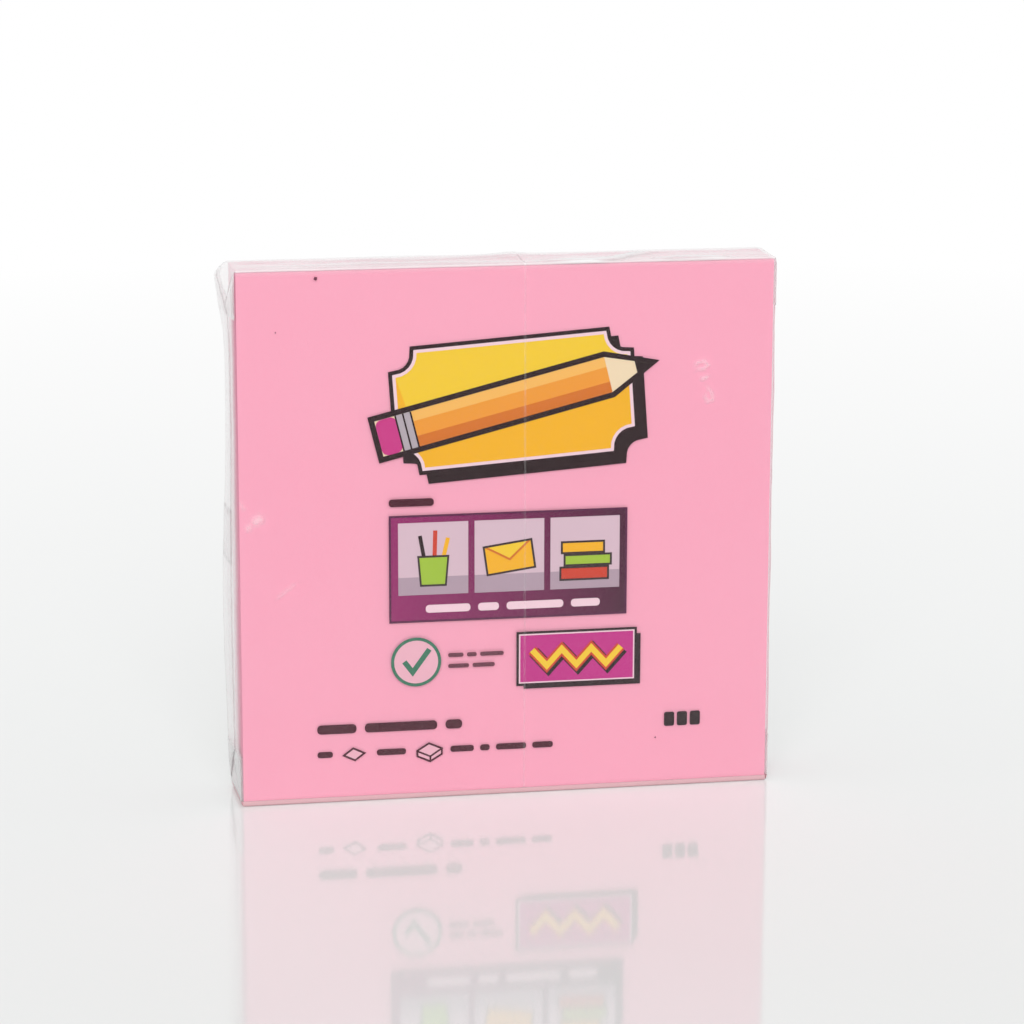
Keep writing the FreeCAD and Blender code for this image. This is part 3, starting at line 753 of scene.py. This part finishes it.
def grown(points, distance):
    """An outline moved outwards by a distance. It runs anticlockwise."""
    result = []
    for index, (x, z) in enumerate(points):
        before, after = points[index - 1], points[(index + 1) % len(points)]
        first = np.array((z - before[1], before[0] - x))
        second = np.array((after[1] - z, x - after[0]))
        first = first / max(np.linalg.norm(first), 1e-9)
        second = second / max(np.linalg.norm(second), 1e-9)
        out = (first + second) / max(1 + float(first @ second), 0.4)
        result.append((x + out[0] * distance, z + out[1] * distance))
    return result


def stroke(path, width):
    """A line of this width along a path, as one outline with mitred corners."""
    path = [np.array(point) for point in path]
    left, right = [], []
    for index, point in enumerate(path):
        ends = path[max(index - 1, 0):index + 2]
        normals = [np.array((a[1] - b[1], b[0] - a[0])) / math.dist(a, b) for a, b in zip(ends, ends[1:])]
        first, second = normals[0], normals[-1]
        out = (first + second) / max(1 + float(first @ second), 0.35) * width / 2
        left.append(tuple(point + out))
        right.append(tuple(point - out))
    return right + left[::-1]


def word_bars(left, low, height, widths, gap):
    """A line of plain bars with round ends, as long as words."""
    outlines = []
    for width in widths:
        outlines.append(round_bar(left, low, left + width, low + height, height * 0.42))
        left += width + gap
    return outlines


def pencil_parts(length, width):
    """A pencil lying along x about its middle: (ink, outline) from the lowest layer up."""
    half, cone, ferrule, rubber = length / 2, 6.0, 2.2, 3.0
    body_end, body_start = half - cone, -half + ferrule + rubber
    tip = cone * 0.32
    whole = [(-half, -width / 2), (body_end, -width / 2), (half, 0.0), (body_end, width / 2), (-half, width / 2)]
    facets = [("deep_orange", -0.5, -0.2), ("orange", -0.2, 0.22), ("pale_orange", 0.22, 0.5)]
    parts = [("dark", grown(whole, 0.8)), ("cream", whole)]
    parts += [(ink, bar(body_start, low * width, body_end, high * width)) for ink, low, high in facets]
    parts += [
        ("silver", bar(-half + rubber, -width / 2, body_start, width / 2)),
        ("magenta", round_bar(-half, -width / 2, -half + rubber, width / 2, 0.9)),
        ("dark", [(half - tip, -width / 2 * tip / cone), (half, 0.0), (half - tip, width / 2 * tip / cone)]),
    ]
    parts += [("dark", bar(place - 0.12, -width / 2, place + 0.12, width / 2))
              for place in (-half + rubber, -half + rubber + ferrule / 2, body_start)]
    return parts


BADGE_PLACE = (0.9, 56.9)


def badge_art():
    """A yellow plaque with a pencil across it."""
    width, height, notch = 33.0, 16.4, 3.2
    plaque = notched(width, height, notch)
    wave = [(x, 1.3 * math.sin(x / 5.2)) for x in np.linspace(width / 2, -width / 2, 24)]
    upper = [point for point in plaque[7:21] if point[1] > 0]
    cx, cz = BADGE_PLACE
    tilt = 4.0
    layers = [
        ("dark", moved(grown(plaque, 1.0), cx + 1.3, cz - 1.3, tilt)),
        ("dark", moved(grown(plaque, 1.0), cx, cz, tilt)),
        ("key_line", moved(grown(plaque, 0.45), cx, cz, tilt)),
        ("amber", moved(plaque, cx, cz, tilt)),
        ("yellow", moved(upper + wave[1:-1][::-1], cx, cz, tilt)),
    ]
    layers += [(ink, moved(outline, cx, cz, 14.0)) for ink, outline in pencil_parts(39.6, 5.2)]
    return layers


def panel_art():
    """A purple panel with three small pictures over a strip of plain blocks."""
    left, low, right, high = -17.0, 25.4, 17.2, 41.0
    layers = [("plum", bar(left, low, right, high)), ("panel", bar(left + 0.3, low + 0.3, right - 0.3, high - 0.3))]
    layers += [("key_line", outline) for outline in word_bars(left + 5.2, low + 1.35, 1.15, (6.4, 3.0, 8.2, 4.2), 1.1)]
    window_low, window_high, window_width, gap = low + 4.0, high - 1.1, 10.0, 0.9
    for number in range(3):
        x = left + 1.3 + number * (window_width + gap)
        layers.append(("window", bar(x, window_low, x + window_width, window_high)))
        layers.append(("shelf", bar(x, window_low, x + window_width, window_low + 2.6)))
        layers += [(ink, moved(outline, x + window_width / 2, window_low)) for ink, outline in WINDOW_ART[number]]
    return layers


# Small pictures, each about the middle of its window's lower edge: a cup of pens, an envelope, books
WINDOW_ART = (
    [("dark", stroke([(-0.9, 3.0), (-1.9, 8.6)], 0.55)), ("red", stroke([(0.1, 3.0), (0.3, 9.3)], 0.6)),
     ("amber", stroke([(0.9, 3.0), (2.1, 8.2)], 0.6)),
     ("charcoal", [(-2.3, 5.7), (-1.9, 1.2), (1.9, 1.2), (2.3, 5.7)]),
     ("lime", [(-2.0, 5.4), (-1.65, 1.5), (1.65, 1.5), (2.0, 5.4)])],
    [("charcoal", moved(bar(-3.6, -2.2, 3.6, 2.2), 0.0, 5.0, 8.0)),
     ("amber", moved(bar(-3.3, -1.9, 3.3, 1.9), 0.0, 5.0, 8.0)),
     ("deep_orange", moved([(-3.3, 1.9), (0.0, -0.5), (3.3, 1.9)], 0.0, 5.0, 8.0)),
     ("yellow", moved([(-2.8, 1.9), (0.0, -0.1), (2.8, 1.9)], 0.0, 5.0, 8.0))],
    [("charcoal", bar(-3.7, 1.2, 3.5, 3.3)), ("red", bar(-3.4, 1.5, 3.2, 3.0)),
     ("charcoal", bar(-3.1, 3.3, 3.9, 5.1)), ("lime", bar(-2.8, 3.6, 3.6, 4.8)),
     ("charcoal", bar(-3.5, 5.1, 2.9, 7.0)), ("amber", bar(-3.2, 5.4, 2.6, 6.7))],
)


def label_art():
    """A magenta label with a yellow zigzag."""
    left, low, right, high = 1.6, 15.7, 18.4, 23.0
    zigzag = [(left + 1.9 + 2.15 * number, low + (2.5 if number % 2 else 4.9)) for number in range(7)]
    lowered = [(x + 0.25, z - 0.3) for x, z in zigzag]
    return [
        ("dark", bar(left + 0.7, low - 0.8, right + 0.9, high - 0.6)),
        ("dark", bar(left - 0.35, low - 0.35, right + 0.35, high + 0.35)),
        ("key_line", bar(left, low, right, high)),
        ("label", bar(left + 0.2, low + 0.2, right - 0.2, high - 0.2)),
        ("dark", stroke(lowered, 1.75)),
        ("red", stroke(zigzag, 1.45)),
        ("yellow", stroke(zigzag, 0.85)),
    ]


def ring_art():
    """A green ring with a tick, and two lines of plain blocks beside it."""
    cx, cz, radius = -13.2, 19.6, 3.6
    tick = [(cx - 1.7, cz + 0.1), (cx - 0.5, cz - 1.5), (cx + 1.9, cz + 1.8)]
    layers = [("green", disc(cx, cz, radius)), ("ring_field", disc(cx, cz, radius - 0.45)),
              ("green", stroke(tick, 0.75))]
    for line, widths in enumerate(((2.2, 1.4, 3.4), (3.0, 3.2))):
        words = word_bars(cx + radius + 1.0, cz + 0.5 - 1.6 * line, 0.6, widths, 0.5)
        layers += [("soft_dark", outline) for outline in words]
    return layers


def caption_art():
    """The lines along the foot of the pad, with a sheet and a pad drawn between them."""
    words = word_bars(-27.4, 9.5, 1.35, (5.6, 10.4, 2.4), 1.2) + word_bars(-17.0, 42.3, 1.1, (6.4,), 1.0)
    words += word_bars(-27.4, 6.0, 0.9, (2.2,), 1.0) + word_bars(-18.9, 6.0, 0.9, (4.2,), 1.0)
    words += word_bars(-8.3, 6.0, 0.9, (3.4, 1.4, 4.4, 3.0), 0.9)
    layers = [("text_dark", outline) for outline in words]
    sheet = [(-1.7, -0.2), (0.2, -1.1), (1.8, 0.1), (-0.1, 1.0)]
    layers += [("text_dark", moved(sheet, -22.2, 6.4)), ("ring_field", moved(grown(sheet, -0.28), -22.2, 6.4))]
    pad = [(-1.8, -0.9), (0.2, -1.8), (2.0, -0.7), (2.0, 0.3), (0.0, 1.2), (-1.8, 0.1)]
    layers += [("text_dark", moved(pad, -11.4, 6.4)), ("ring_field", moved(grown(pad, -0.28), -11.4, 6.4)),
               ("text_dark", moved(stroke([(-1.8, 0.0), (0.2, -0.9), (2.0, 0.3)], 0.26), -11.4, 6.4)),
               ("text_dark", moved(stroke([(0.2, -1.7), (0.2, -0.9)], 0.26), -11.4, 6.4))]
    layers += [("dark", round_bar(22.9 + 1.9 * number, 8.3, 24.4 + 1.9 * number, 10.4, 0.3)) for number in range(3)]
    return layers


INKS = {
    "yellow": ("#F6CE35",), "amber": ("#F7B824",), "orange": ("#F2A03A",), "pale_orange": ("#F8BE63",),
    "deep_orange": ("#D9782A",), "cream": ("#F3DDBB",), "silver": ("#B9AEB6",), "dark": ("#261216",),
    "charcoal": ("#3A2C2C",), "key_line": ("#F6D6E0",), "plum": ("#5A2147",),
    "panel": ("#9A2B6D", "#4C1D37", (-17.0, 17.0)), "window": ("#DCC0CC",), "shelf": ("#B7A0AE",),
    "lime": ("#A6C63E",), "red": ("#D2452F",), "magenta": ("#CE3C8A",), "label": ("#C7308C",),
    "green": ("#3C7C62",), "ring_field": ("#F0B9C8",), "text_dark": ("#4C1628",), "soft_dark": ("#6E3B4B",),
}
INK_STEP = 0.011
INK_THICKNESS = 0.006
DRAPE_STEP = 2.5


def draped_outline(outline, layer):
    """One flat colour as points and faces, cut fine enough to follow the film and laid behind it."""
    mesh = bmesh.new()
    corners = [mesh.verts.new((x, 0.0, z + NOTE_FOOT)) for x, z in outline]
    mesh.faces.new(corners).normal_update()
    bmesh.ops.triangulate(mesh, faces=mesh.faces[:], ngon_method="EAR_CLIP")
    xs, zs = [x for x, _ in outline], [z + NOTE_FOOT for _, z in outline]
    for axis, low, high in ((0, min(xs), max(xs)), (2, min(zs), max(zs))):
        normal = Vector((1.0, 0.0, 0.0)) if axis == 0 else Vector((0.0, 0.0, 1.0))
        for cut in np.arange(math.ceil(low / DRAPE_STEP) * DRAPE_STEP, high, DRAPE_STEP):
            bmesh.ops.bisect_plane(mesh, geom=mesh.verts[:] + mesh.edges[:] + mesh.faces[:],
                                   plane_co=normal * float(cut), plane_no=normal)
    mesh.verts.index_update()
    points = np.array([vertex.co for vertex in mesh.verts])
    faces = [tuple(vertex.index for vertex in face.verts) for face in mesh.faces]
    mesh.free()
    points[:, 1] = FRONT - front_lift(points[:, 0], points[:, 2]) + WALL / 2 + 0.012 + INK_STEP * layer
    return points, faces


def make_print(name, art, inks):
    """One printed motif. Its colours are listed from the back, and the last lies nearest the film."""
    used = sorted({ink for ink, _ in art})
    all_points, all_faces, choice = [], [], []
    levels = stack_levels(art)
    for (ink, outline), level in zip(art, levels):
        points, faces = draped_outline(outline, max(levels) - level)
        walls_points, walls = thickened(points, turned_forward(points, faces), INK_THICKNESS)
        offset = sum(len(block) for block in all_points)
        all_points.append(walls_points)
        all_faces += [tuple(corner + offset for corner in face) for face in walls]
        choice += [used.index(ink)] * len(walls)
    piece = add_piece(name, np.vstack(all_points), all_faces, [inks[ink] for ink in used], choice)
    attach(piece, "root")
    return piece


# Specks of lint on the film: place in (x, z above the notes' foot), size
SPECKS = (((-26.95, 75.0), 0.5), ((-32.6, 67.6), 0.2), ((21.6, 6.7), 0.22))


def make_specks(material):
    """The few specks of lint that sit on the front of the film, each a low lump."""
    points, faces = [], []
    for (x, z), size in SPECKS:
        first = len(points)
        skin = FRONT - float(front_lift(x, z + NOTE_FOOT)) - WALL / 2
        for height, spread in ((0.0, 1.0), (0.3, 0.8)):
            for step in range(9):
                angle = math.tau * step / 9
                radius = size / 2 * spread * (1 + 0.2 * math.sin(3.1 * step + x))
                points.append((x + radius * math.cos(angle), skin - size * height,
                               z + NOTE_FOOT + radius * math.sin(angle)))
        rim = [first + step for step in range(9)]
        crown = [first + 9 + step for step in range(9)]
        faces += [tuple(rim[::-1]), tuple(crown)]
        faces += [(rim[step - 1], rim[step], crown[step], crown[step - 1]) for step in range(9)]
    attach(add_piece("lint_specks", points, faces, [material]), "root")


def turned_forward(points, faces):
    """The faces with their fronts towards the film."""
    turned = []
    for face in faces:
        a, b, c = (points[corner] for corner in face[:3])
        turned.append(tuple(face) if np.cross(b - a, c - a)[1] < 0 else tuple(reversed(face)))
    return turned


def stack_levels(art):
    """The layer of each outline: one above the highest that its box overlaps."""
    boxes, levels = [], []
    for _, outline in art:
        xs, zs = [x for x, _ in outline], [z for _, z in outline]
        box = (min(xs), min(zs), max(xs), max(zs))
        under = [level for other, level in zip(boxes, levels)
                 if other[0] < box[2] and box[0] < other[2] and other[1] < box[3] and box[1] < other[3]]
        boxes.append(box)
        levels.append(max(under, default=-1) + 1)
    return levels


# Stage
FLOOR_SIZE = 6.0


def glossy_panel():
    """A polished white acrylic panel with a hard coat, which adds to its mirror. It mirrors the pad
    softly, and far from the pad it fades to the plain white of the backdrop."""
    material, tree, output = new_material("polished_white_acrylic")
    place = add_node(tree, "ShaderNodeTexCoord").outputs["Object"]
    distance = add_node(tree, "ShaderNodeVectorMath", {0: place, 1: (0.0, -0.15, 0.0)},
                        operation="DISTANCE").outputs["Value"]
    haze = add_node(tree, "ShaderNodeTexNoise", {"Vector": place, "Scale": 9.0, "Detail": 3.0}).outputs["Fac"]
    paint = add_node(tree, "ShaderNodeMix", {"Factor": haze, "A": colour("#EDF0EF"), "B": colour("#F0F2F1")},
                     data_type="RGBA").outputs["Result"]
    skin = add_node(tree, "ShaderNodeBsdfPrincipled", {"Base Color": paint, "Roughness": 0.07,
                                                      "Coat Weight": 0.4, "Coat Roughness": 0.05})
    white = add_node(tree, "ShaderNodeEmission", {"Color": colour("#FFFFFF"), "Strength": 1.0})
    path = add_node(tree, "ShaderNodeLightPath").outputs
    seen = add_node(tree, "ShaderNodeMath", {0: path["Is Camera Ray"], 1: path["Is Glossy Ray"]}, operation="ADD")
    seen = add_node(tree, "ShaderNodeMath", {0: seen.outputs[0], 1: path["Is Transmission Ray"]}, operation="ADD",
                    use_clamp=True)
    fade = add_node(tree, "ShaderNodeMapRange", {"Value": distance, "From Min": 0.08, "From Max": 0.62}).outputs["Result"]
    share = add_node(tree, "ShaderNodeMath", {0: fade, 1: seen.outputs[0]}, operation="MULTIPLY").outputs[0]
    mixed = add_node(tree, "ShaderNodeMixShader", {0: share, 1: skin.outputs[0], 2: white.outputs[0]})
    tree.links.new(mixed.outputs[0], output.inputs["Surface"])
    return material


def make_floor():
    """The panel that the pad stands on."""
    mesh = bpy.data.meshes.new("floor")
    half = FLOOR_SIZE / 2
    mesh.from_pydata([(-half, -half, 0.0), (half, -half, 0.0), (half, half, 0.0), (-half, half, 0.0)], [],
                     [(0, 1, 2, 3)])
    mesh.materials.append(glossy_panel())
    floor = bpy.data.objects.new("floor", mesh)
    bpy.context.scene.collection.objects.link(floor)


def make_world():
    """White all round to the eye and in reflections, and a softer level as light."""
    world = bpy.data.worlds.new("studio")
    bpy.context.scene.world = world
    world.use_nodes = True
    tree = world.node_tree
    tree.nodes.clear()
    output = add_node(tree, "ShaderNodeOutputWorld")
    path = add_node(tree, "ShaderNodeLightPath").outputs
    seen = add_node(tree, "ShaderNodeMath", {0: path["Is Camera Ray"], 1: path["Is Glossy Ray"]}, operation="ADD")
    seen = add_node(tree, "ShaderNodeMath", {0: seen.outputs[0], 1: path["Is Transmission Ray"]}, operation="ADD",
                    use_clamp=True)
    level = add_node(tree, "ShaderNodeBackground", {"Color": colour("#FFFFFF"), "Strength": 0.63})
    white = add_node(tree, "ShaderNodeBackground", {"Color": colour("#FFFFFF"), "Strength": 1.0})
    mixed = add_node(tree, "ShaderNodeMixShader", {0: seen.outputs[0], 1: level.outputs[0], 2: white.outputs[0]})
    tree.links.new(mixed.outputs[0], output.inputs["Surface"])


# Lamps: name, place in metres, side length in metres, power in watts
LAMPS = (
    ("key_softbox", (-0.3, -1.7, 1.2), 1.2, 18.0),
    ("top_softbox", (0.0, -0.1, 2.2), 1.4, 3.0),
)


def make_lamps():
    """Soft lamps that look at the middle of the pad."""
    for name, place, side, power in LAMPS:
        data = bpy.data.lights.new(name, "AREA")
        data.shape = "SQUARE"
        data.size = side
        data.energy = power
        lamp = bpy.data.objects.new(name, data)
        lamp.location = place
        lamp.rotation_euler = (Vector((0.0, 0.0, 0.038)) - Vector(place)).to_track_quat("-Z", "Y").to_euler()
        bpy.context.scene.collection.objects.link(lamp)


def dress_node(node, material):
    """Gives a piece of the frame its finish."""
    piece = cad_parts[node]
    piece.data.materials.clear()
    piece.data.materials.append(material)


def main():
    make_camera()
    dress_node("note_block", dyed_paper())
    dress_node("backing_sheet", release_paper())
    dress_node("adhesive_band", band_adhesive())
    make_film(clear_film())
    inks = {name: printed_ink(name, *tones) for name, tones in INKS.items()}
    for name, art in (("printed_badge", badge_art()), ("printed_panel", panel_art()),
                      ("printed_label", label_art()), ("printed_ring", ring_art()),
                      ("printed_captions", caption_art())):
        make_print(name, art, inks)
    make_specks(dust_lint())
    make_floor()
    make_world()
    make_lamps()
    bpy.context.scene.view_settings.view_transform = "Standard"
    bpy.context.scene.cycles.transparent_max_bounces = 32
    bpy.context.scene.cycles.glossy_bounces = 12
    bpy.context.scene.cycles.max_bounces = 24


main()
